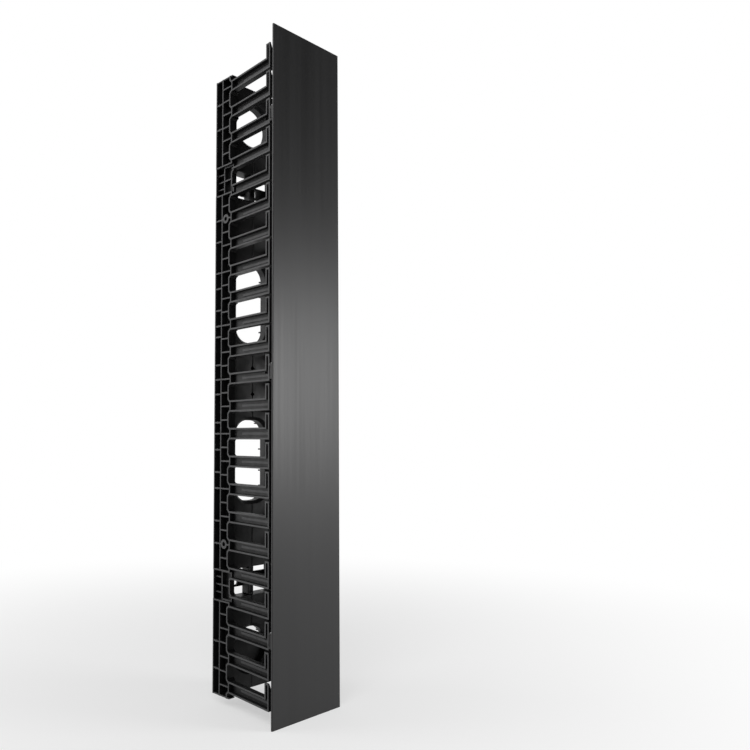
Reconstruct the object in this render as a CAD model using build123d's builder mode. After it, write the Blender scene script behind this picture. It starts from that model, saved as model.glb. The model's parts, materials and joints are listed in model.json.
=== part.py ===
from build123d import *

import math
import os

os.makedirs("parts", exist_ok=True)

# Vertical cable manager section: two moulded half bases with rows of splayed fingers, a rear wall with cable
# pass-throughs, and a flat cover that swings on vertical pins. Millimetres, +X right, +Z up, front -Y.
# X = 0 is the seam of the rear wall, Y = 0 is the plane against the rack, Z = 0 is the middle finger.

# Fingers
finger_pitch = 38.1
finger_height = 15.8
finger_depth = 8.0
finger_rim = 2.3
finger_web = 1.6
finger_flare = 3.5
finger_front_radius = 4.5
finger_inner_chamfer = 1.5
upright_width = 8.5
upright_tip_width = 1.5
upright_tip_chamfer = 3.2
upright_taper_start = 2.8
slot_height = 3.3
band_height = 3.5
band_rise = 0.8
band_setback = 20.3

# Base mouldings
base_width = 108.0
base_depth = 124.0
base_height = 870.0
base_end_gap = 6.3
side_depth = 12.0
skin = 1.8
lattice_rib = 2.0
seat_setback = 36.7
opening_bulge = 4.3
opening_chamfer = 2.6
spine_setback = 15.2
ring_setback = 23.5
ring_outer = 13.0
ring_hole = 6.0

# Rear wall
wall_front = 19.8
wall_skin = 2.5
seam_groove = 1.0
seam_flange = 2.5
seam_flange_recess = 6.0
round_hole_margin = 11.5
long_hole_margin = 14.3
long_hole_height = 116.0
long_hole_flat = 6.7
collar_wall = 4.0
collar_mouth = 4.5
collar_recess = 4.5
rear_rib_levels = [0.0, 20.7, 60.7, 98.7, 130.0, 197.6]
end_rib_offsets = [-18.5, 18.3]
blind_thickness = 2.0
blind_recess = 6.0
blind_lip = 6.0
blind_rise = 15.0
seam_pocket = 5.5
seam_pocket_depth = 8.0
seam_pocket_level = 19.0

# Mount windows and brackets
mount_window_height = 42.0
mount_window_margin = 3.0
mount_side_step = 4.0
mount_fit = 0.3
bracket_flange = 3.0
bracket_arm_height = 18.0
bracket_post_width = 10.0
bracket_post_recess = 4.0
bracket_rib = 2.0
bracket_floor = 3.0
mount_slot_spacing = 32.0
mount_slot_width = 7.0
mount_slot_length = 13.0
mount_pocket = 14.0

# Levels in finger pitches: round holes below the last finger, mounts and rings below the round holes, and
# long holes above the middle
round_hole_pitches = 1
mount_pitches = 2.5
ring_pitches = 4
long_hole_pitches = 3

# Cover
cover_width = 124.0
cover_height = 914.4
cover_thickness = 2.2
cover_gap = 7.8
cover_edge_round = 1.0
rail_inset = 17.0
rail_stem = 2.0
rail_stem_height = 3.0
rail_flange = 7.0
rail_flange_thickness = 1.5
rail_end_margin = 8.0
rail_fit = 0.15

# Cover hinges
hinge_outset = 3.0
hinge_setback = 4.2
hinge_end_finger = 3
hinge_plate = 2.5
hinge_bottom = 5.5
hinge_height = 20.0
hinge_leg_length = 22.0
hinge_leg_height = 12.6
hinge_post_length = 7.0
hinge_ear = 3.0
hinge_ear_radius = 2.8
hinge_ear_chamfer = 1.4
pin_diameter = 3.0
pin_head = 5.0
pin_head_height = 1.0
pin_ear_fit = 0.05
clip_pin_fit = 0.08
clip_body = 6.4
clip_chamfer = 1.4
clip_end_gap = 0.3
clip_foot_wall = 2.0

# Screws and seam bolts
screw_diameter = 3.8
screw_head = 7.0
screw_head_height = 2.2
screw_hole_fit = 0.1
screw_sides = 8
screw_tail = 3.0
mount_screw_setback = 8.0
hinge_screw_diameter = 2.4
hinge_screw_head = 4.4
hinge_screw_head_height = 1.4
hinge_screw_setback = 15.0
seam_bolt_setback = 11.5
seam_bolt_levels = [40.0]
seam_nut_height = 3.2

# Worked out from the values above
half_width = base_width / 2
half_finger = finger_height / 2
opening_height = finger_pitch - finger_height
fingers_per_side = round((base_height + base_end_gap) / finger_pitch)
middle = (fingers_per_side - 1) / 2
finger_levels = [(middle - i) * finger_pitch for i in range(fingers_per_side)]
opening_levels = [(middle + 0.5 - i) * finger_pitch for i in range(fingers_per_side + 1)]
cell_levels = finger_levels + opening_levels
round_hole_level = (middle - round_hole_pitches) * finger_pitch
mount_level = round_hole_level - mount_pitches * finger_pitch
ring_level = round_hole_level - ring_pitches * finger_pitch
long_hole_level = long_hole_pitches * finger_pitch
rib_levels = [
    *rear_rib_levels, long_hole_level - finger_pitch, long_hole_level + finger_pitch, ring_level,
    *[round_hole_level + offset for offset in end_rib_offsets],
]
inner_face = half_width - side_depth
round_hole_width = 2 * (inner_face - round_hole_margin)
long_hole_width = 2 * (inner_face - long_hole_margin)
long_hole_corner = long_hole_width / 2 - long_hole_flat
skin_face = inner_face + skin
finger_front = -base_depth
seat = -seat_setback
tip_level = half_finger + opening_height - slot_height
wall_face = -wall_front
wall_back = wall_face + wall_skin
cover_back = finger_front - cover_gap
cover_front = cover_back - cover_thickness
cover_level = (tip_level - half_finger) / 2
channel_half = half_finger - finger_rim
channel_middle = (channel_half + band_height / 2) / 2
pin_x = half_width + hinge_outset
pin_y = finger_front - hinge_setback
rail_x = pin_x - rail_inset
hinge_fingers = [hinge_end_finger, (fingers_per_side + 1) // 2, fingers_per_side + 1 - hinge_end_finger]
station_levels = {
    place: finger_levels[number - 1] for place, number in zip(("top", "middle", "bottom"), hinge_fingers)
}
mirrored = Plane.YZ

# The fingers splay outwards about the line where their outer face meets the seat
slope = math.tan(math.radians(finger_flare))
stretch = 1 / math.cos(math.radians(finger_flare))
finger_length = (base_depth - seat_setback) * stretch
splay = Location((half_width, seat, 0), (0, 0, finger_flare))


def side_plane(x):
    """A drawing plane parallel to the side strip: its x runs along +Y and its y along +Z."""
    return Plane.YZ.offset(x)


def rear_plane(y):
    """A drawing plane parallel to the rear wall: its x runs along +X and its y along +Z."""
    return Plane.XZ.offset(-y)


def splayed_plane(depth):
    """A drawing plane parallel to the right fingers, this deep under their outer face."""
    return Plane(splay * side_plane(-depth).location)


def splayed_point(depth, y):
    """The point at this Y that lies this deep under the outer face of the right fingers."""
    return half_width + (seat - y) * slope - depth * stretch, y


def span(low, high):
    """The middle and the length of a stretch."""
    return (low + high) / 2, high - low


def both(levels):
    """Each level above the middle finger and its twin below."""
    return sorted({level for value in levels for level in (value, -value)})


def cut_corners(width, height, corner):
    """A rectangle with its four corners cut off."""
    with BuildSketch() as outline:
        Rectangle(width, height)
        chamfer(outline.vertices(), corner)
    return outline.sketch


# One finger before it is splayed, with X = 0 at its outer face and Y = 0 at the seat: an L-shaped channel,
# open outwards, with a raised band along its floor
front = -finger_length
root = finger_rim
upright_back = front + upright_width
channel_front = front + finger_rim
floor_depth = finger_depth - finger_web
taper_foot = half_finger + upright_taper_start

with BuildPart() as finger:
    with BuildSketch(side_plane(-finger_depth)) as outline:
        with BuildLine():
            Polyline(
                (root, -half_finger), (front, -half_finger), (front, tip_level), (upright_back, tip_level),
                (upright_back, half_finger), (root, half_finger), close=True,
            )
        make_face()
        corners = outline.vertices()
        fillet(corners.sort_by_distance((-finger_depth, front, -half_finger))[0], finger_front_radius)
        inner_corner = corners.sort_by_distance((-finger_depth, upright_back, half_finger))[0]
        chamfer(outline.vertices().sort_by_distance(inner_corner)[0], finger_inner_chamfer)
        tips = [corner for corner in outline.vertices() if abs(corner.Z - tip_level) < finger_rim]
        chamfer(tips, upright_tip_chamfer)
    extrude(amount=finger_depth)

    # The upright narrows from its inner side to a thin tip
    with BuildSketch(rear_plane(front - finger_rim)):
        with BuildLine():
            Polyline(
                (-finger_depth - finger_rim, taper_foot), (-finger_depth, taper_foot),
                (-upright_tip_width, tip_level), (-upright_tip_width, tip_level + finger_rim),
                (-finger_depth - finger_rim, tip_level + finger_rim), close=True,
            )
        make_face()
    extrude(amount=-(upright_width + 2 * finger_rim), mode=Mode.SUBTRACT)

    # The channel of the beam
    with BuildSketch(side_plane(0)) as channel:
        at, length = span(channel_front, root)
        with Locations((at, 0)):
            Rectangle(length, 2 * channel_half)
        front_low = channel.vertices().sort_by_distance((0, channel_front, -channel_half))[0]
        chamfer(front_low, (finger_front_radius - finger_rim) / 2)
    extrude(amount=-floor_depth, mode=Mode.SUBTRACT)

    # The channel of the upright follows its taper
    with BuildSketch(rear_plane(channel_front)):
        with BuildLine():
            Polyline(
                (0, 0), (-floor_depth, 0), (-floor_depth, taper_foot),
                (-upright_tip_width, tip_level - finger_rim), (0, tip_level - finger_rim), close=True,
            )
        make_face()
    extrude(amount=-(upright_width - 2 * finger_rim), mode=Mode.SUBTRACT)

    # The band
    with BuildSketch(side_plane(-finger_depth)):
        at, length = span(channel_front, -band_setback)
        with Locations((at, 0)):
            Rectangle(length, band_height)
    extrude(amount=finger_web + band_rise)

# The finger splayed, with its front and its root cut flat
with BuildPart() as splayed_finger:
    with Locations(splay):
        add(finger.part)
    at, length = span(finger_front, seat)
    with Locations((half_width, at, 0)):
        Box(base_width, length, 2 * finger_pitch, mode=Mode.INTERSECT)

# The row of fingers on each side
hinge_screw_places = [
    (front + hinge_screw_setback, level + channel_middle) for level in station_levels.values()
]

with BuildPart() as right_fingers:
    with Locations([(0, 0, level) for level in finger_levels]):
        add(splayed_finger.part)
    with BuildSketch(splayed_plane(finger_depth)):
        with Locations(hinge_screw_places):
            RegularPolygon(hinge_screw_diameter / 2 + screw_hole_fit, screw_sides)
    extrude(amount=finger_web, mode=Mode.SUBTRACT)
right_fingers.part.label = "right_fingers"
export_step(right_fingers.part, "parts/right_fingers.step")

with BuildPart() as left_fingers:
    mirror(right_fingers.part, about=mirrored)
left_fingers.part.label = "left_fingers"
export_step(left_fingers.part, "parts/left_fingers.step")


def pass_throughs(margin):
    """The outlines of the four cable pass-throughs, widened all round by the margin."""
    with BuildSketch() as outlines:
        with Locations([(0, level) for level in both([round_hole_level])]):
            Circle(round_hole_width / 2 + margin)
        with Locations([(0, level) for level in both([long_hole_level])]):
            RectangleRounded(
                long_hole_width + 2 * margin, long_hole_height + 2 * margin, long_hole_corner + margin
            )
    return outlines.sketch


# Half of the base: a ribbed side strip and half of the rear wall
window_levels = both([mount_level])
window_opening = mount_window_height - lattice_rib
window_edges = both([mount_level - mount_window_height / 2, mount_level + mount_window_height / 2])
outer_step = half_width - mount_side_step
half_wall, wall_length = span(0, inner_face)
pocket_back = wall_face + seam_pocket_depth + skin

with BuildPart() as right_base:
    # Skins of the side strip and of the rear wall
    with BuildSketch(Plane.XY.offset(-base_height / 2)):
        with BuildLine():
            Polyline(
                (0, wall_back), (0, wall_face), (inner_face, wall_face), (inner_face, seat),
                (skin_face, seat), (skin_face, -skin), (half_width, -skin), (half_width, 0),
                (inner_face, 0), (inner_face, wall_back), close=True,
            )
        make_face()
    extrude(amount=base_height)

    # Lattice on the outside of the side strip
    with BuildSketch(side_plane(skin_face)):
        with Locations((-spine_setback, 0)):
            Rectangle(lattice_rib, base_height)
        at, length = span(seat, -spine_setback)
        with Locations([(at, level) for level in cell_levels]):
            Rectangle(length, lattice_rib)
        with Locations([(seat + lattice_rib / 2, level) for level in finger_levels]):
            Rectangle(lattice_rib, finger_height)
        with Locations([(seat, level) for level in opening_levels]):
            add(cut_corners(
                2 * (opening_bulge + finger_rim), opening_height + 2 * finger_rim,
                opening_chamfer + finger_rim / 2,
            ))
        with Locations([(-spine_setback / 2, level) for level in both(rib_levels)]):
            Rectangle(spine_setback, lattice_rib)
        with Locations([(-ring_setback, level) for level in both([ring_level])]):
            Circle(ring_outer / 2)
        with Locations([(seat / 2, level) for level in window_edges]):
            Rectangle(seat_setback, lattice_rib)
        with Locations((seat / 2, 0)):
            Rectangle(seat_setback, base_height, mode=Mode.INTERSECT)
    extrude(amount=side_depth - skin)

    # Ribs and seam flange behind the rear wall
    with BuildSketch(rear_plane(0)):
        with Locations([(half_wall, level) for level in both(rib_levels)]):
            Rectangle(wall_length, lattice_rib)
        with Locations([(half_wall, level) for level in window_edges]):
            Rectangle(wall_length, lattice_rib)
    extrude(amount=-wall_back)
    flange_at, flange_depth = span(wall_back, -seam_flange_recess)
    with Locations((seam_flange / 2, flange_at, 0)):
        Box(seam_flange, flange_depth, base_height)

    # Collars of the pass-throughs, and bosses behind the diamond pockets of the seam
    with BuildSketch(rear_plane(-collar_recess)):
        add(pass_throughs(collar_wall))
        with Locations((half_wall, 0)):
            Rectangle(wall_length, base_height, mode=Mode.INTERSECT)
    extrude(amount=-wall_back - collar_recess)
    with BuildSketch(rear_plane(pocket_back)):
        with Locations([(0, level) for level in both([seam_pocket_level])]):
            Rectangle(seam_pocket + 2 * skin, seam_pocket + 2 * skin, rotation=45)
        with Locations((half_wall, 0)):
            Rectangle(wall_length, base_height, mode=Mode.INTERSECT)
    extrude(amount=pocket_back - wall_back)

    # Cable pass-throughs, diamond pockets and mount windows
    with BuildSketch(rear_plane(0)):
        add(pass_throughs(0))
    extrude(amount=wall_front, mode=Mode.SUBTRACT)
    with BuildSketch(rear_plane(wall_face)):
        with Locations([(0, level) for level in both([seam_pocket_level])]):
            Rectangle(seam_pocket, seam_pocket, rotation=45)
    extrude(amount=-seam_pocket_depth, mode=Mode.SUBTRACT)
    with BuildSketch(rear_plane(wall_back)):
        with Locations([(0, level) for level in window_levels]):
            Rectangle(2 * (inner_face - mount_window_margin), window_opening)
    extrude(amount=wall_skin, mode=Mode.SUBTRACT)
    with Locations([(half_wall, wall_back / 2, level) for level in window_levels]):
        Box(wall_length, -wall_back, window_opening, mode=Mode.SUBTRACT)

    # The side strip steps in beside each mount window
    step_at, step_depth = span(outer_step, half_width)
    with Locations([(step_at, seat / 2, level) for level in window_levels]):
        Box(step_depth, seat_setback, window_opening, mode=Mode.SUBTRACT)

    # Finger openings reach into the strip, and ring bosses and screw holes go through it
    with BuildSketch(side_plane(inner_face)):
        with Locations([(seat, level) for level in opening_levels]):
            add(cut_corners(2 * opening_bulge, opening_height, opening_chamfer))
        with Locations([(-ring_setback, level) for level in both([ring_level])]):
            Circle(ring_hole / 2)
        with Locations([(-mount_screw_setback, level) for level in window_levels]):
            RegularPolygon(screw_diameter / 2 + screw_hole_fit, screw_sides)
    extrude(amount=side_depth, mode=Mode.SUBTRACT)
    with BuildSketch(side_plane(0)):
        with Locations([(-seam_bolt_setback, level) for level in both(seam_bolt_levels)]):
            RegularPolygon(screw_diameter / 2 + screw_hole_fit, screw_sides)
    extrude(amount=seam_flange, mode=Mode.SUBTRACT)

    # Flared mouths of the pass-throughs, and the groove along the seam
    wall_arcs = right_base.edges().filter_by(GeomType.CIRCLE).filter_by_position(Axis.Y, wall_face, wall_face)
    chamfer(wall_arcs, collar_mouth)
    with BuildSketch(Plane.XY.offset(-base_height / 2)):
        with BuildLine():
            Polyline((0, wall_face), (seam_groove, wall_face), (0, wall_face + seam_groove), close=True)
        make_face()
    extrude(amount=base_height, mode=Mode.SUBTRACT)

    # The bottom pass-through is blinded by a recessed plate with a lip along its top
    blind_radius = (round_hole_width + collar_wall) / 2
    blind_top = blind_rise - round_hole_level
    plate_at, plate_height = span(-round_hole_level - blind_radius, blind_top)
    with BuildSketch(rear_plane(-blind_recess)):
        with Locations((0, -round_hole_level)):
            Circle(blind_radius)
        with Locations((blind_radius / 2, plate_at)):
            Rectangle(blind_radius, plate_height, mode=Mode.INTERSECT)
    extrude(amount=blind_thickness)
    with BuildSketch(rear_plane(-blind_recess)):
        with Locations((0, -round_hole_level)):
            Circle(blind_radius)
        with Locations((blind_radius / 2, blind_top - lattice_rib / 2)):
            Rectangle(blind_radius, lattice_rib, mode=Mode.INTERSECT)
    extrude(amount=blind_lip)
right_base.part.label = "right_base"
export_step(right_base.part, "parts/right_base.step")

with BuildPart() as left_base:
    mirror(right_base.part, about=mirrored)
left_base.part.label = "left_base"
export_step(left_base.part, "parts/left_base.step")

# Mount bracket: a cross in the window, with end flanges screwed between the side strips
bracket_half = inner_face
bracket_height = window_opening - 2 * mount_fit
bracket_front = wall_back
bracket_hole_depth = bracket_flange + 2 * screw_tail


def mount_bracket(level):
    """The cross-shaped bracket that fills the mount window at this level."""
    with BuildPart() as bracket:
        with Locations((0, bracket_front / 2, level)):
            Box(2 * bracket_half, -bracket_front, bracket_arm_height)
        post_at, post_depth = span(bracket_front, -bracket_post_recess)
        with Locations((0, post_at, level)):
            Box(bracket_post_width, post_depth, bracket_height)
        flange_x = bracket_half - bracket_flange / 2
        with Locations((flange_x, bracket_front / 2, level), (-flange_x, bracket_front / 2, level)):
            Box(bracket_flange, -bracket_front, bracket_height)
        slot_x = mount_slot_spacing / 2
        with BuildSketch(rear_plane(bracket_front)):
            with Locations((slot_x, level), (-slot_x, level)):
                Rectangle(mount_pocket, mount_pocket)
            with Locations((0, level)):
                Rectangle(bracket_post_width - 2 * bracket_rib, bracket_height - 2 * bracket_rib)
        extrude(amount=bracket_front + bracket_floor, mode=Mode.SUBTRACT)
        with BuildSketch(rear_plane(0)):
            with Locations((slot_x, level), (-slot_x, level)):
                SlotOverall(mount_slot_length, mount_slot_width, rotation=90)
        extrude(amount=-bracket_front, mode=Mode.SUBTRACT)
        for side in (-1, 1):
            with BuildSketch(side_plane(side * bracket_half)):
                with Locations((-mount_screw_setback, level)):
                    RegularPolygon(screw_diameter / 2 + screw_hole_fit, screw_sides)
            extrude(amount=-side * bracket_hole_depth, mode=Mode.SUBTRACT)
    return bracket.part


def screw(plane, diameter, length, head, head_height):
    """A hexagon head screw whose head lies on the plane and whose shank points against its normal."""
    with BuildPart() as piece:
        with BuildSketch(plane):
            RegularPolygon(diameter / 2, screw_sides)
        extrude(amount=-length)
        with BuildSketch(plane):
            RegularPolygon(head / 2, 6, major_radius=False)
        extrude(amount=head_height)
    return piece.part


for name, level in (("upper", mount_level), ("lower", -mount_level)):
    bracket = mount_bracket(level)
    bracket.label = f"{name}_mount_bracket"
    export_step(bracket, f"parts/{name}_mount_bracket.step")

    with BuildPart() as bracket_screws:
        seat_plane = Plane((skin_face, -mount_screw_setback, level), x_dir=(0, 1, 0), z_dir=(1, 0, 0))
        length = skin + bracket_flange + screw_tail
        add(screw(seat_plane, screw_diameter, length, screw_head, screw_head_height))
        mirror(about=mirrored)
    bracket_screws.part.label = f"{name}_mount_screws"
    export_step(bracket_screws.part, f"parts/{name}_mount_screws.step")

# Bolts and nuts through the seam flanges
with BuildPart() as seam_bolts:
    for level in both(seam_bolt_levels):
        seat_plane = Plane((seam_flange, -seam_bolt_setback, level), x_dir=(0, 1, 0), z_dir=(1, 0, 0))
        length = 2 * seam_flange + seam_nut_height
        add(screw(seat_plane, screw_diameter, length, screw_head, screw_head_height))
seam_bolts.part.label = "seam_bolts"
export_step(seam_bolts.part, "parts/seam_bolts.step")

with BuildPart() as seam_nuts:
    with BuildSketch(side_plane(-seam_flange)):
        with Locations([(-seam_bolt_setback, level) for level in both(seam_bolt_levels)]):
            RegularPolygon(screw_head / 2, 6, major_radius=False)
            RegularPolygon(screw_diameter / 2 + screw_hole_fit, screw_sides, mode=Mode.SUBTRACT)
    extrude(amount=-seam_nut_height)
seam_nuts.part.label = "seam_nuts"
export_step(seam_nuts.part, "parts/seam_nuts.step")

# Cover: a flat panel with two T-rails along its inner face
with BuildPart() as cover:
    with BuildSketch(Plane.XY.offset(cover_level - cover_height / 2)) as cover_section:
        at, length = span(cover_front, cover_back)
        with Locations((0, at)):
            Rectangle(cover_width, length)
        front_corners = cover_section.vertices().group_by(Axis.Y)[0]
        fillet(front_corners, cover_edge_round)
    extrude(amount=cover_height)
    rail_length = cover_height - 2 * rail_end_margin
    stem_back = cover_back + rail_stem_height
    flange_back = stem_back + rail_flange_thickness
    with BuildSketch(Plane.XY.offset(cover_level - rail_length / 2)):
        stem_at, stem_length = span(cover_back, stem_back)
        rail_at, rail_depth = span(stem_back, flange_back)
        with Locations((rail_x, stem_at), (-rail_x, stem_at)):
            Rectangle(rail_stem, stem_length)
        with Locations((rail_x, rail_at), (-rail_x, rail_at)):
            Rectangle(rail_flange, rail_depth)
    extrude(amount=rail_length)
cover.part.label = "cover"
export_step(cover.part, "parts/cover.step")

# Hinge stations: bracket, pin and clip at three fingers on each side
leg_depth = finger_depth + hinge_plate
half_clip = clip_body / 2
clip_foot_inner = rail_x - rail_flange / 2 - clip_foot_wall
foot_back = flange_back + clip_foot_wall


def hinge_leg(back):
    """The outline of a plate on the inner side of the right fingers, from this Y to their front."""
    with BuildSketch() as plate:
        with BuildLine():
            Polyline(
                splayed_point(leg_depth, back), splayed_point(finger_depth, back),
                splayed_point(finger_depth, finger_front), splayed_point(leg_depth, finger_front), close=True,
            )
        make_face()
    return plate.sketch


def hinge_bracket(level):
    """A leg on the inner side of the finger, with two ears in front of the finger that hold the pin."""
    bottom = level - hinge_bottom
    with BuildPart() as bracket:
        with BuildSketch(Plane.XY.offset(bottom)):
            add(hinge_leg(finger_front + hinge_leg_length))
        extrude(amount=hinge_leg_height)
        with BuildSketch(Plane.XY.offset(bottom)):
            add(hinge_leg(finger_front + hinge_post_length))
        extrude(amount=hinge_height)
        ear_inner = splayed_point(leg_depth, finger_front)[0]
        ear_at, ear_width = span(ear_inner, pin_x + hinge_ear_radius)
        ear_y, ear_length = span(pin_y - hinge_ear_radius, finger_front)
        for ear_bottom in (bottom, bottom + hinge_height - hinge_ear):
            with BuildSketch(Plane.XY.offset(ear_bottom)) as ear:
                with Locations((ear_at, ear_y)):
                    Rectangle(ear_width, ear_length)
                chamfer(ear.vertices().group_by(Axis.Y)[0], hinge_ear_chamfer)
                with Locations((pin_x, pin_y)):
                    Circle(pin_diameter / 2 + pin_ear_fit, mode=Mode.SUBTRACT)
            extrude(amount=hinge_ear)
        with BuildSketch(splayed_plane(leg_depth)):
            with Locations([place for place in hinge_screw_places if abs(place[1] - level) < half_finger]):
                RegularPolygon(hinge_screw_diameter / 2 + screw_hole_fit, screw_sides)
        extrude(amount=hinge_plate, mode=Mode.SUBTRACT)
    return bracket.part


def hinge_pin(level):
    """A headed pin, dropped through both ears."""
    bottom = level - hinge_bottom
    with BuildPart() as pin:
        with BuildSketch(Plane.XY.offset(bottom)):
            with Locations((pin_x, pin_y)):
                Circle(pin_diameter / 2)
        extrude(amount=hinge_height)
        with BuildSketch(Plane.XY.offset(bottom + hinge_height)):
            with Locations((pin_x, pin_y)):
                RegularPolygon(pin_head / 2, 6, major_radius=False)
        extrude(amount=pin_head_height)
    return pin.part


def cover_clip(level):
    """A clip that grips the T-rail and hooks round the pin from the front."""
    bottom = level - hinge_bottom + hinge_ear + clip_end_gap
    height = hinge_height - 2 * (hinge_ear + clip_end_gap)
    with BuildPart() as clip:
        with BuildSketch(Plane.XY.offset(bottom)):
            with BuildLine():
                Polyline(
                    (clip_foot_inner, cover_back), (pin_x + half_clip, cover_back),
                    (pin_x + half_clip, pin_y + half_clip - clip_chamfer),
                    (pin_x + half_clip - clip_chamfer, pin_y + half_clip),
                    (pin_x - half_clip + clip_chamfer, pin_y + half_clip),
                    (pin_x - half_clip, foot_back), (clip_foot_inner, foot_back), close=True,
                )
            make_face()
            with Locations((rail_x, stem_at)):
                Rectangle(rail_stem + 2 * rail_fit, stem_length, mode=Mode.SUBTRACT)
            with Locations((rail_x, rail_at)):
                Rectangle(rail_flange + 2 * rail_fit, rail_depth + 2 * rail_fit, mode=Mode.SUBTRACT)
            with Locations((pin_x, pin_y)):
                Circle(pin_diameter / 2 + clip_pin_fit, mode=Mode.SUBTRACT)
            with Locations((pin_x, pin_y + half_clip)):
                Rectangle(pin_diameter + 2 * clip_pin_fit, clip_body, mode=Mode.SUBTRACT)
        extrude(amount=height)
    return clip.part


station_pieces = {"hinge_bracket": hinge_bracket, "hinge_pin": hinge_pin, "cover_clip": cover_clip}

for place, level in station_levels.items():
    for kind, make in station_pieces.items():
        for side in ("right", "left"):
            with BuildPart() as piece:
                if side == "right":
                    add(make(level))
                else:
                    mirror(make(level), about=mirrored)
            piece.part.label = f"{side}_{place}_{kind}"
            export_step(piece.part, f"parts/{side}_{place}_{kind}.step")

# Screws that hold the hinge brackets to the webs of the fingers
with BuildPart() as right_hinge_screws:
    leg_plane = splayed_plane(leg_depth)
    for place in hinge_screw_places:
        screw_seat = leg_plane.from_local_coords((*place, 0))
        seat_plane = Plane(screw_seat, x_dir=leg_plane.x_dir, z_dir=-leg_plane.z_dir)
        length = hinge_plate + finger_web + screw_tail
        add(screw(seat_plane, hinge_screw_diameter, length, hinge_screw_head, hinge_screw_head_height))
right_hinge_screws.part.label = "right_hinge_screws"
export_step(right_hinge_screws.part, "parts/right_hinge_screws.step")

with BuildPart() as left_hinge_screws:
    mirror(right_hinge_screws.part, about=mirrored)
left_hinge_screws.part.label = "left_hinge_screws"
export_step(left_hinge_screws.part, "parts/left_hinge_screws.step")
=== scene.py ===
import json
import math

import bmesh
import bpy
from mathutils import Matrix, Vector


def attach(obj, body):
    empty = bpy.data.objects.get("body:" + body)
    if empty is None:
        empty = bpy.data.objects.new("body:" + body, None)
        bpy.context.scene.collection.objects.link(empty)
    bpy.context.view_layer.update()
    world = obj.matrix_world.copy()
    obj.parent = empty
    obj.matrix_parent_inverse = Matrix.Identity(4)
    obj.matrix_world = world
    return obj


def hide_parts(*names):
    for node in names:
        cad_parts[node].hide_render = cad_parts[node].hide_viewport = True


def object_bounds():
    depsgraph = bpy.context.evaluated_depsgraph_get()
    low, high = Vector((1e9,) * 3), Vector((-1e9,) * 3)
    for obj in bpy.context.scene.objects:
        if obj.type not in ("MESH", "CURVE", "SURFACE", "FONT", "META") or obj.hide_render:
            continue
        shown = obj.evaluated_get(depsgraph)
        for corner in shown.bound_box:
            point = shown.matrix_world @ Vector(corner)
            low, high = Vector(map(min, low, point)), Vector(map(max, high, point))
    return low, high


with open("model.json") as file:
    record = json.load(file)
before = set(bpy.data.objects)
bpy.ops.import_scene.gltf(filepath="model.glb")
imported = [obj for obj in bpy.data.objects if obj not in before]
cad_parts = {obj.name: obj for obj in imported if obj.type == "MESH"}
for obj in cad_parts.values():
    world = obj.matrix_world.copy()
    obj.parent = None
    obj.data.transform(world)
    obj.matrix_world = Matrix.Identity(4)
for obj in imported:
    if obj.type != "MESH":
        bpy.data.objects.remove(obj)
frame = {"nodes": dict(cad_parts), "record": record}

cad_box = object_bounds()

# The photograph's view, in metres and degrees
FRAME_PIXELS = 750
FOCAL_PIXELS = 730.4
AXIS_PIXEL = (297.1, 391.1)
CAMERA_PLACE = (-0.6829, -0.8336, -0.0807)
CAMERA_YAW = 43.5
CAMERA_TILT = 3.59
SENSOR_WIDTH = 36.0

# Places on the object that the finishes and small ribs follow, in metres
RIM_FACE = 0.054
SKIN_FACE = 0.0438
SEAT = -0.0367
FLARE_SLOPE = 0.0611626
RIM_DEPTH = 0.0059
BASE_HALF_HEIGHT = 0.435
RIB = 0.002
SPINE = -0.0152
CLOSING_WALL = 0.0018
MOUNT_LEVEL = 0.28575
WINDOW_STEP = 0.004
WINDOW_HALF_HEIGHT = 0.021
WINDOW_RIB_STEP = 0.0105
BOSS_RADIUS = 0.0018
BOSS_SETBACK = 0.0077
BOSS_SIDES = 16
BOSS_LEVELS = (0.0, 0.0207, 0.0607, 0.0762, 0.0987, 0.13, 0.1524, 0.1976, 0.2286, 0.3625, 0.3993)
BRACKET_HALF = 0.042
BRACKET_FRONT = -0.0173
BRACKET_RISE = 0.01965
BRACKET_FLANGE = 0.003
BRACKET_FLOOR = 0.003
BRACKET_ARM = 0.009
POST_HALF = 0.005
POST_BACK = -0.004
POST_WALL = 0.002
SLOT_PLACE = 0.016
SLOT_HALF_WIDTH = 0.0035
SLOT_HALF_LENGTH = 0.0065
SLOT_STEPS = 32
SOFT_EDGE = 0.0003
PROUD = 0.0001

# Plain colours, in linear light
BASE_LOW = (0.004, 0.004, 0.0043)
# The high tone of the base mouldings is a painted highlight: the rims are painted lighter where light would
# catch them
BASE_RIM_HIGHLIGHT = (0.050, 0.050, 0.0512)
# The edge tone is a painted highlight along edges, on the mouldings also broken up like wear
EDGE_HIGHLIGHT_TONE = (0.06, 0.06, 0.0613)
BRACKET_TONE = (0.010, 0.010, 0.0105)
COVER_TONE = (0.013, 0.013, 0.0133)
ZINC_TONE = (0.56, 0.56, 0.57)
BLACK_STEEL_TONE = (0.03, 0.03, 0.03)
FLOOR_TONE = (0.88, 0.88, 0.88)

# Each lamp: its place, what it points at, its width and height, all in metres, and its power in watts
LAMPS = {
    "cover_light": ((0.82, -1.15, 0.09), (0.0, -0.13, 0.0), 0.5, 0.5, 8.6),
    "side_light": ((-1.1, 0.9, 0.3), (-0.05, -0.05, 0.0), 0.7, 1.6, 8.0),
    "front_light": ((-1.2, -0.9, 1.2), (0.0, -0.05, 0.0), 1.2, 1.2, 14.0),
}

# How bright the world is as a light, and how bright the open side of the studio is in gloss
WORLD_LEVEL = 0.3
ROOM_LEVEL = 0.04
ROOM_END = -0.15
BACKDROP_START = 0.4

# How strongly the plastics shine, against 0.5 for plain plastic
MOULDED_SHINE = 0.3
COVER_SHINE = 0.45


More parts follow.
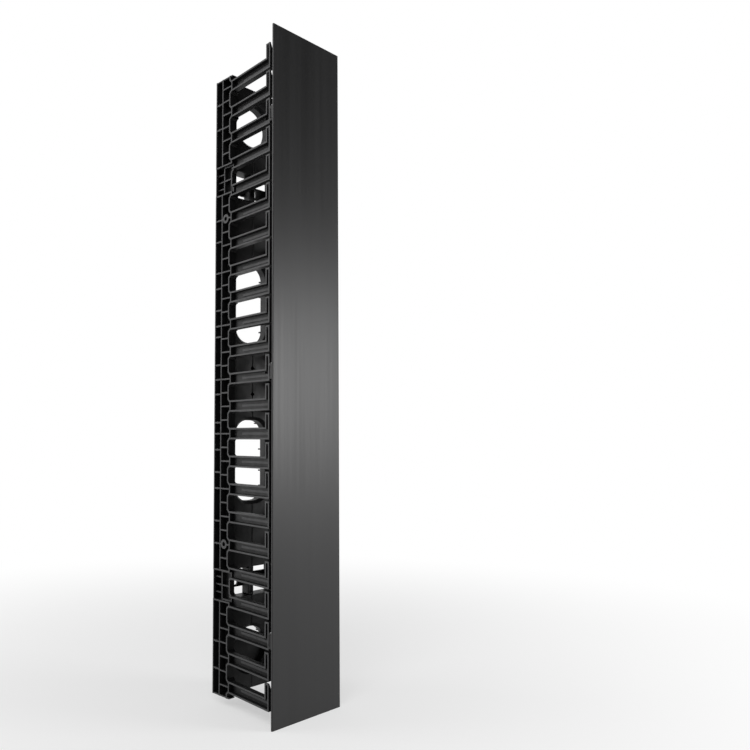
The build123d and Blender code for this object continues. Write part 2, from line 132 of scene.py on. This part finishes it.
class Shader:
    """A small helper that adds nodes to one material or world and links them."""

    def __init__(self, owner):
        owner.use_nodes = True
        self.owner = owner
        self.tree = owner.node_tree
        self.tree.nodes.clear()

    def node(self, kind, inputs=None, **settings):
        made = self.tree.nodes.new(kind)
        for key, value in settings.items():
            setattr(made, key, value)
        for key, value in (inputs or {}).items():
            if isinstance(value, bpy.types.NodeSocket):
                self.tree.links.new(value, made.inputs[key])
            else:
                made.inputs[key].default_value = value
        return made

    def math(self, operation, first, second=0.0, third=0.0):
        return self.node("ShaderNodeMath", {0: first, 1: second, 2: third}, operation=operation).outputs[0]

    def ramp(self, value, low, high, to_low=0.0, to_high=1.0):
        inputs = {"Value": value, "From Min": low, "From Max": high, "To Min": to_low, "To Max": to_high}
        made = self.node("ShaderNodeMapRange", inputs, interpolation_type="SMOOTHSTEP")
        return made.outputs["Result"]

    def mix(self, factor, first, second):
        made = self.node("ShaderNodeMix", data_type="RGBA")
        sockets = [s for s in made.inputs if s.type == "RGBA"]
        for socket, value in zip(sockets, (first, second)):
            if isinstance(value, bpy.types.NodeSocket):
                self.tree.links.new(value, socket)
            else:
                socket.default_value = (*value, 1.0)
        self.tree.links.new(factor, made.inputs["Factor"])
        return next(s for s in made.outputs if s.type == "RGBA")

    def noise(self, vector, scale, detail=2.0, roughness=0.5):
        inputs = {"Vector": vector, "Scale": scale, "Detail": detail, "Roughness": roughness}
        return self.node("ShaderNodeTexNoise", inputs).outputs["Fac"]

    def place(self):
        """Where a point of the object lies, in metres: every piece has its origin at the object's own."""
        return self.node("ShaderNodeTexCoord").outputs["Object"]

    def rim_highlight_mask(self, place):
        """One on the flat faces near the outer side, which follows the fingers' splay, and zero deeper in: it
        marks the rims that get a painted highlight.
        """
        axes = self.node("ShaderNodeSeparateXYZ", {0: place}).outputs
        forward = self.math("MAXIMUM", self.math("SUBTRACT", SEAT, axes["Y"]), 0.0)
        face = self.math("MULTIPLY_ADD", forward, FLARE_SLOPE, RIM_FACE)
        depth = self.math("SUBTRACT", face, self.math("ABSOLUTE", axes["X"]))
        shallow = self.ramp(depth, RIM_DEPTH, RIM_DEPTH + 2 * PROUD, 1.0, 0.0)
        facing = self.node("ShaderNodeTexCoord").outputs["Normal"]
        sideways = self.math("ABSOLUTE", self.node("ShaderNodeSeparateXYZ", {0: facing}).outputs["X"])
        return self.math("MULTIPLY", shallow, self.ramp(sideways, 0.7, 0.95))

    def stretched(self, vector, scale):
        made = self.node("ShaderNodeMapping", {"Vector": vector})
        made.inputs["Scale"].default_value = scale
        return made.outputs["Vector"]

    def edges(self, radius, low=0.02, high=0.22):
        """One along outer and inner edges, zero on flat faces."""
        rounded = self.node("ShaderNodeBevel", {"Radius": radius}, samples=6).outputs["Normal"]
        flat = self.node("ShaderNodeNewGeometry").outputs["Normal"]
        compared = self.node("ShaderNodeVectorMath", {0: rounded, 1: flat}, operation="DOT_PRODUCT")
        dot = compared.outputs["Value"]
        return self.ramp(self.math("SUBTRACT", 1.0, dot), low, high), rounded

    def bump(self, height, strength, distance, normal=None):
        inputs = {"Height": height, "Strength": strength, "Distance": distance}
        if normal is not None:
            inputs["Normal"] = normal
        return self.node("ShaderNodeBump", inputs).outputs["Normal"]

    def show(self, surface, output="ShaderNodeOutputMaterial"):
        self.node(output, {"Surface": surface})
        return self.owner

    def finish(self, inputs):
        return self.show(self.node("ShaderNodeBsdfPrincipled", inputs).outputs["BSDF"])


def moulded(name, low, high):
    """Satin injection moulded plastic: its rims are painted lighter with the high tone, a painted highlight,
    and its deeper faces keep the low tone, which stands in as painted shade in the recesses.
    """
    shader = Shader(bpy.data.materials.new(name))
    place = shader.place()
    rim_highlight_mask = shader.rim_highlight_mask(place)
    cloud = shader.ramp(shader.noise(place, 38.0, 4.0, 0.6), 0.35, 0.7, 0.0, 0.3)
    mottled_rim_highlight = shader.mix(cloud, high, tuple(0.7 * c for c in high))
    # The rims get the high tone as a painted highlight; the deeper faces keep the dark tone, which stands in
    # as painted shade in the recesses
    tone = shader.mix(rim_highlight_mask, low, mottled_rim_highlight)
    edge, rounded = shader.edges(0.0005)
    # Edges are painted lighter: partly wear, broken up by noise, and partly a painted highlight, stronger on
    # the rims
    edge_wear_and_highlight = shader.math("MULTIPLY", edge, shader.ramp(shader.noise(place, 160.0, 3.0), 0.3, 0.65, 0.25, 1.0))
    edge_wear_and_highlight = shader.math("MULTIPLY", edge_wear_and_highlight, shader.math("MULTIPLY_ADD", rim_highlight_mask, 0.5, third=0.15))
    tone = shader.mix(edge_wear_and_highlight, tone, EDGE_HIGHLIGHT_TONE)
    grain = shader.noise(place, 2200.0, 2.0)
    normal = shader.bump(grain, 0.10, 0.00005, rounded)
    roughness = shader.ramp(shader.noise(place, 90.0, 3.0), 0.3, 0.7, 0.44, 0.54)
    return shader.finish({
        "Base Color": tone, "Roughness": roughness, "Normal": normal, "Specular IOR Level": MOULDED_SHINE,
    })


def extruded(name, colour):
    """Satin extruded plastic: faint streaks run along the length of the panel."""
    shader = Shader(bpy.data.materials.new(name))
    place = shader.place()
    streak = shader.noise(shader.stretched(place, (260.0, 260.0, 1.6)), 1.0, 3.0, 0.55)
    wide = shader.noise(shader.stretched(place, (42.0, 42.0, 1.2)), 1.0, 2.0, 0.5)
    tone = shader.mix(shader.ramp(wide, 0.3, 0.7), colour, tuple(1.25 * c for c in colour))
    edge, rounded = shader.edges(0.0008)
    # The cover's edges are painted lighter with the edge tone, a painted highlight
    tone = shader.mix(shader.math("MULTIPLY", edge, 0.6), tone, EDGE_HIGHLIGHT_TONE)
    grain = shader.noise(shader.stretched(place, (2400.0, 2400.0, 500.0)), 1.0, 2.0)
    normal = shader.bump(streak, 0.08, 0.00006, shader.bump(grain, 0.08, 0.00004, rounded))
    finely = shader.ramp(streak, 0.3, 0.7, -0.02, 0.02)
    roughness = shader.math("ADD", finely, shader.ramp(wide, 0.3, 0.7, 0.40, 0.43))
    return shader.finish({
        "Base Color": tone, "Roughness": roughness, "Normal": normal, "Specular IOR Level": COVER_SHINE,
    })


def steel(name, colour):
    """Plated steel with a fine turned grain."""
    shader = Shader(bpy.data.materials.new(name))
    place = shader.place()
    blotch = shader.ramp(shader.noise(place, 700.0, 3.0), 0.3, 0.7)
    tone = shader.mix(blotch, tuple(0.8 * c for c in colour), colour)
    turned = shader.noise(shader.stretched(place, (900.0, 900.0, 9000.0)), 1.0, 2.0)
    normal = shader.bump(turned, 0.2, 0.00003)
    roughness = shader.ramp(turned, 0.3, 0.7, 0.26, 0.36)
    return shader.finish({"Base Color": tone, "Metallic": 1.0, "Roughness": roughness, "Normal": normal})


finishes = {
    "base_plastic": moulded("base_moulding", BASE_LOW, BASE_RIM_HIGHLIGHT),
    "finger_plastic": moulded("finger_moulding", BASE_LOW, BASE_RIM_HIGHLIGHT),
    "bracket_plastic": moulded("bracket_moulding", BRACKET_TONE, BRACKET_TONE),
    "hinge_plastic": moulded("hinge_moulding", BRACKET_TONE, BRACKET_TONE),
    "cover_plastic": extruded("cover_extrusion", COVER_TONE),
    "zinc_steel": steel("zinc_plate", ZINC_TONE),
}
black_steel = steel("blackened_steel", BLACK_STEEL_TONE)

for part in frame["record"]["subparts"]:
    mesh = frame["nodes"][part["node"]].data
    mesh.materials.clear()
    blackened = part["node"].endswith("_screws")
    mesh.materials.append(black_steel if blackened else finishes[part["material_slot"]])


def add_block(mesh, low, high):
    """A rib with soft edges between two corners."""
    made = bmesh.ops.create_cube(mesh, size=1.0)["verts"]
    middle = [(a + b) / 2 for a, b in zip(low, high)]
    spans = [b - a for a, b in zip(low, high)]
    for vert in made:
        vert.co = [m + s * c for m, s, c in zip(middle, spans, vert.co)]
    edges = list({edge for vert in made for edge in vert.link_edges})
    bmesh.ops.bevel(mesh, geom=edges, offset=SOFT_EDGE, segments=2, affect="EDGES")


def join(mesh, first, second):
    """Faces between two closed loops of as many points."""
    for step in range(len(first)):
        after = (step + 1) % len(first)
        mesh.faces.new((first[step], first[after], second[after], second[step]))


def add_boss(mesh, side, level):
    """A round boss that stands on a rib of the side strip, with a softened rim."""
    rim = BOSS_RADIUS - SOFT_EDGE
    rings = [(SKIN_FACE, BOSS_RADIUS), (RIM_FACE - SOFT_EDGE, BOSS_RADIUS), (RIM_FACE + PROUD, rim)]
    angles = [2 * math.pi * step / BOSS_SIDES for step in range(BOSS_SIDES)]
    loops = []
    for reach, radius in rings:
        across = [radius * math.cos(angle) - BOSS_SETBACK for angle in angles]
        upwards = [radius * math.sin(angle) + level for angle in angles]
        loops.append([mesh.verts.new((side * reach, y, z)) for y, z in zip(across, upwards)])
    for inner, outer in zip(loops, loops[1:]):
        join(mesh, inner, outer)
    mesh.faces.new(loops[0][::-1])
    mesh.faces.new(loops[-1])


def slot_reach(angle):
    """How far the slot's outline is from its middle in this direction."""
    across, along = abs(math.cos(angle)), abs(math.sin(angle))
    straight = SLOT_HALF_LENGTH - SLOT_HALF_WIDTH
    if SLOT_HALF_WIDTH * along <= straight * across:
        return SLOT_HALF_WIDTH / across
    return straight * along + math.sqrt(SLOT_HALF_WIDTH ** 2 - (straight * across) ** 2)


def add_arm(mesh, side, level):
    """The plate of one arm, against the rack, with the slot for a rack screw through it."""
    outward = BRACKET_HALF - BRACKET_FLANGE - SLOT_PLACE
    inward = SLOT_PLACE - POST_HALF
    corners = [math.atan2(z, x) for z in (-BRACKET_ARM, BRACKET_ARM) for x in (outward, -inward)]
    steps = [2 * math.pi * (step + 0.5) / SLOT_STEPS - math.pi for step in range(SLOT_STEPS)]
    loops = {}
    for face in (-BRACKET_FLOOR, -PROUD):
        for edge in ("slot", "outline"):
            loops[face, edge] = []
        for angle in sorted(corners + steps):
            across, along = math.cos(angle), math.sin(angle)
            width = outward if across > 0 else inward
            outline = 1 / max(abs(across) / width, abs(along) / BRACKET_ARM)
            for edge, reach in (("slot", slot_reach(angle)), ("outline", outline)):
                place = (side * (SLOT_PLACE + reach * across), face, level + reach * along)
                loops[face, edge].append(mesh.verts.new(place))
    front, back = -BRACKET_FLOOR, -PROUD
    join(mesh, loops[front, "slot"], loops[front, "outline"])
    join(mesh, loops[front, "outline"], loops[back, "outline"])
    join(mesh, loops[back, "outline"], loops[back, "slot"])
    join(mesh, loops[back, "slot"], loops[front, "slot"])


def piece(name, mesh, slot):
    """A piece of the base made from the mesh, with the slot's finish."""
    bmesh.ops.recalc_face_normals(mesh, faces=mesh.faces)
    data = bpy.data.meshes.new(name)
    mesh.to_mesh(data)
    mesh.free()
    data.materials.append(finishes[slot])
    made = bpy.data.objects.new(name, data)
    bpy.context.scene.collection.objects.link(made)
    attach(made, "base")
    return made


# Ribs that close the ends of the side strips, and short ribs beside the mount windows
ribs = bmesh.new()
for side in (-1, 1):
    for upwards in (-1, 1):
        reach = sorted((side * SKIN_FACE, side * (RIM_FACE - PROUD)))
        ends = sorted((upwards * (BASE_HALF_HEIGHT - RIB), upwards * (BASE_HALF_HEIGHT - PROUD)))
        add_block(ribs, (reach[0], SEAT + PROUD, ends[0]), (reach[1], -PROUD, ends[1]))
        recessed = sorted((side * SKIN_FACE, side * (RIM_FACE - WINDOW_STEP)))
        for step in (-1, 0, 1):
            level = upwards * MOUNT_LEVEL + step * WINDOW_RIB_STEP
            add_block(ribs, (recessed[0], SPINE, level - RIB / 2), (recessed[1], -PROUD, level + RIB / 2))
        level = upwards * MOUNT_LEVEL
        low = (reach[0], -CLOSING_WALL, level - WINDOW_HALF_HEIGHT)
        add_block(ribs, low, (reach[1], -PROUD, level + WINDOW_HALF_HEIGHT))
piece("strip_ribs", ribs, "base_plastic")

bosses = bmesh.new()
for side in (-1, 1):
    for level in sorted({sign * level for sign in (-1, 1) for level in BOSS_LEVELS}):
        add_boss(bosses, side, level)
piece("strip_bosses", bosses, "base_plastic")

# Mount brackets with thin arms, open in front, on the same slots, post and flanges as the solid ones
for name, upwards in (("upper", 1), ("lower", -1)):
    level = upwards * MOUNT_LEVEL
    bottom, top = level - BRACKET_RISE, level + BRACKET_RISE
    bracket = bmesh.new()
    for side in (-1, 1):
        add_arm(bracket, side, level)
        flange = sorted((side * (BRACKET_HALF - BRACKET_FLANGE), side * (BRACKET_HALF - PROUD)))
        add_block(bracket, (flange[0], BRACKET_FRONT, bottom), (flange[1], -PROUD, top))
        wall = sorted((side * (POST_HALF - POST_WALL), side * POST_HALF))
        add_block(bracket, (wall[0], BRACKET_FRONT, bottom), (wall[1], POST_BACK, top))
        cap = sorted((level + side * BRACKET_RISE, level + side * (BRACKET_RISE - POST_WALL)))
        add_block(bracket, (-POST_HALF, BRACKET_FRONT, cap[0]), (POST_HALF, POST_BACK, cap[1]))
    low = (-POST_HALF, POST_BACK - SOFT_EDGE, level - BRACKET_ARM)
    add_block(bracket, low, (POST_HALF, -PROUD, level + BRACKET_ARM))
    made = piece(f"{name}_open_bracket", bracket, "bracket_plastic")
    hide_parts(f"{name}_mount_bracket")


def backdrop_rays(shader):
    """One for the rays that show the backdrop: from the camera, in gloss and through clear pieces."""
    rays = shader.node("ShaderNodeLightPath").outputs
    shown = shader.math("MAXIMUM", rays["Is Camera Ray"], rays["Is Glossy Ray"])
    return shader.math("MAXIMUM", shown, rays["Is Transmission Ray"])


# A plain pale floor that fades into a white backdrop
FLOOR_SIZE = 24.0
FADE_NEAR = 0.1
FADE_FAR = 1.3
FADE_LEAST = 0.5
floor_level = cad_box[0][2]
bpy.ops.mesh.primitive_plane_add(size=FLOOR_SIZE, location=(0.0, 0.0, floor_level))
floor = bpy.context.object
floor.name = "floor"
pale = Shader(bpy.data.materials.new("pale_floor"))
distance = pale.node("ShaderNodeVectorMath", {0: pale.place()}, operation="LENGTH").outputs["Value"]
seen = backdrop_rays(pale)
fade = pale.math("MULTIPLY", pale.ramp(distance, FADE_NEAR, FADE_FAR, FADE_LEAST, 1.0), seen)
matt = pale.node("ShaderNodeBsdfDiffuse", {"Color": (*FLOOR_TONE, 1.0)}).outputs[0]
white = pale.node("ShaderNodeEmission", {"Color": (1.0, 1.0, 1.0, 1.0), "Strength": 1.0}).outputs[0]
blend = pale.node("ShaderNodeMixShader", {0: fade, 1: matt, 2: white}).outputs[0]
floor.data.materials.append(pale.show(blend))

# The world lights softly from all round and shows white behind the object. In gloss, the open side of the
# studio in front of the object is dim.
world = bpy.data.worlds.new("studio")
bpy.context.scene.world = world
sky = Shader(world)
direction = sky.node("ShaderNodeTexCoord").outputs["Generated"]
behind = sky.node("ShaderNodeSeparateXYZ", {0: direction}).outputs["Y"]
rays = sky.node("ShaderNodeLightPath").outputs
mirrored = sky.math("MAXIMUM", rays["Is Glossy Ray"], rays["Is Transmission Ray"])
in_gloss = sky.math("MULTIPLY", mirrored, sky.ramp(behind, ROOM_END, BACKDROP_START, ROOM_LEVEL, 1.0))
lighting = sky.math("SUBTRACT", 1.0, sky.math("MAXIMUM", rays["Is Camera Ray"], mirrored))
level = sky.math("MULTIPLY_ADD", lighting, WORLD_LEVEL, in_gloss)
strength = sky.math("ADD", level, rays["Is Camera Ray"])
shown = sky.node("ShaderNodeBackground", {"Color": (1.0, 1.0, 1.0, 1.0), "Strength": strength}).outputs[0]
sky.show(shown, "ShaderNodeOutputWorld")


def lamp(name, place, aim, width, height, power):
    """A soft rectangular lamp that points at a place."""
    data = bpy.data.lights.new(name, "AREA")
    data.shape = "RECTANGLE"
    data.size = width
    data.size_y = height
    data.energy = power
    made = bpy.data.objects.new(name, data)
    bpy.context.scene.collection.objects.link(made)
    made.location = place
    direction = [a - p for a, p in zip(aim, place)]
    yaw = math.atan2(direction[0], direction[1])
    tilt = math.atan2(direction[2], math.hypot(direction[0], direction[1]))
    made.rotation_euler = (math.pi / 2 + tilt, 0.0, -yaw)
    return made


for name, setting in LAMPS.items():
    lamp(name, *setting)

camera_data = bpy.data.cameras.new("camera")
camera_data.sensor_width = SENSOR_WIDTH
camera_data.lens = SENSOR_WIDTH * FOCAL_PIXELS / FRAME_PIXELS
camera_data.shift_x = 0.5 - AXIS_PIXEL[0] / FRAME_PIXELS
camera_data.shift_y = AXIS_PIXEL[1] / FRAME_PIXELS - 0.5
camera = bpy.data.objects.new("camera", camera_data)
camera.location = CAMERA_PLACE
camera.rotation_euler = (math.radians(90.0 + CAMERA_TILT), 0.0, -math.radians(CAMERA_YAW))
bpy.context.scene.collection.objects.link(camera)
bpy.context.scene.camera = camera
bpy.context.scene.view_settings.view_transform = "Standard"
